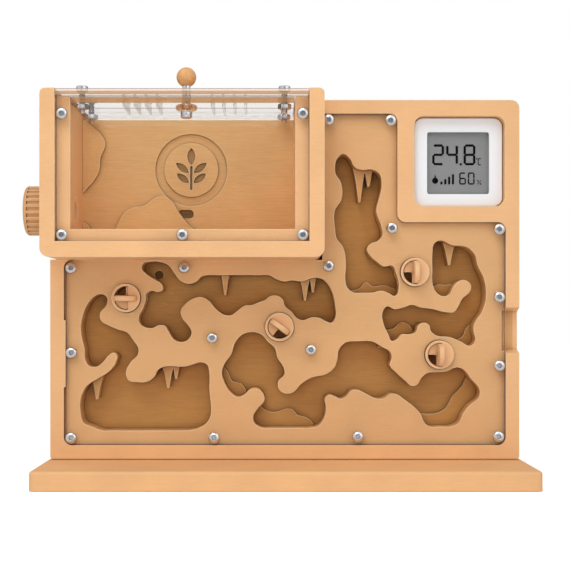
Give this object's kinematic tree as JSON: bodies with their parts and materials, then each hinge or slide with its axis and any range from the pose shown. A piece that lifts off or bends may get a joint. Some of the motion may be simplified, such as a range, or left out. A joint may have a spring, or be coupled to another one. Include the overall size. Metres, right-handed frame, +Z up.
{
  "type": "ant habitat",
  "caption": "Upright ant nest on a base plate, with carved chambers behind a clear cover, a feeding box with a lift-off lid, rotary gates and a climate meter.",
  "frame": {"origin": "centre of the base plate's underside", "axes": "+X to the right along the nest, -Y the glazed front, +Z up"},
  "size_m": [0.2401, 0.09, 0.1963],
  "materials": {
    "printed_body": "fine matte, faint layer lines",
    "clear_sheet": "clear polished acrylic sheet",
    "steel": "bright zinc-plated steel",
    "brass": "plain",
    "turned_wood": "oiled",
    "tan_acrylic": "translucent",
    "gate_body": "fine matte",
    "white_shell": "satin",
    "display": "matte grey",
    "display_window": "clear",
    "circuit_board": "satin"
  },
  "bodies": {
    "root": {"base_plate": "printed_body", "nest_body": "printed_body", "outworld_box": "printed_body", "nest_cover": "clear_sheet", "outworld_window": "clear_sheet", "port_nipple": "printed_body", "cover_screws": "steel", "cover_inserts": "brass", "window_screws": "steel", "window_inserts": "brass", "box_screws": "steel", "box_inserts": "brass", "base_screws": "steel", "base_inserts": "brass", "gate_seat_1": "gate_body", "gate_seat_2": "gate_body", "gate_seat_3": "gate_body", "gate_seat_4": "gate_body"},
    "lid": {"lid_top_plate": "clear_sheet", "lid_lower_plate": "clear_sheet", "lid_bolts": "steel", "lid_nuts": "steel", "knob_ball": "turned_wood", "knob_stud": "steel", "knob_washer": "tan_acrylic", "knob_nut": "steel"},
    "port_cap": {"port_cap": "printed_body"},
    "meter": {"meter_housing": "white_shell", "meter_lens": "display_window", "meter_screen": "display", "meter_board": "circuit_board", "meter_coin_cell": "steel", "meter_back_cover": "white_shell"},
    "gate_1": {"gate_rotor_1": "gate_body"},
    "gate_2": {"gate_rotor_2": "gate_body"},
    "gate_3": {"gate_rotor_3": "gate_body"},
    "gate_4": {"gate_rotor_4": "gate_body"}
  },
  "joints": [
    {"name": "lid_lift", "type": "slide", "parent": "root", "child": "lid", "axis": [0, 0, 1], "range_m": [0, 0.04]},
    {"name": "port_cap_turn", "type": "hinge", "parent": "root", "child": "port_cap", "pos_m": [-0.118, -0.006, 0.1295], "axis": [-1, 0, 0], "range_deg": [0, 720]},
    {"name": "meter_pull", "type": "slide", "parent": "root", "child": "meter", "axis": [0, -1, 0], "range_m": [0, 0.025]},
    {"name": "gate_1_turn", "type": "hinge", "parent": "root", "child": "gate_1", "pos_m": [-0.0773, 0, 0.0878], "axis": [0, -1, 0], "continuous": true},
    {"name": "gate_2_turn", "type": "hinge", "parent": "root", "child": "gate_2", "pos_m": [-0.0026, 0, 0.0737], "axis": [0, -1, 0], "continuous": true},
    {"name": "gate_3_turn", "type": "hinge", "parent": "root", "child": "gate_3", "pos_m": [0.0634, 0, 0.1004], "axis": [0, -1, 0], "continuous": true},
    {"name": "gate_4_turn", "type": "hinge", "parent": "root", "child": "gate_4", "pos_m": [0.0753, 0, 0.0602], "axis": [0, -1, 0], "continuous": true}
  ]
}
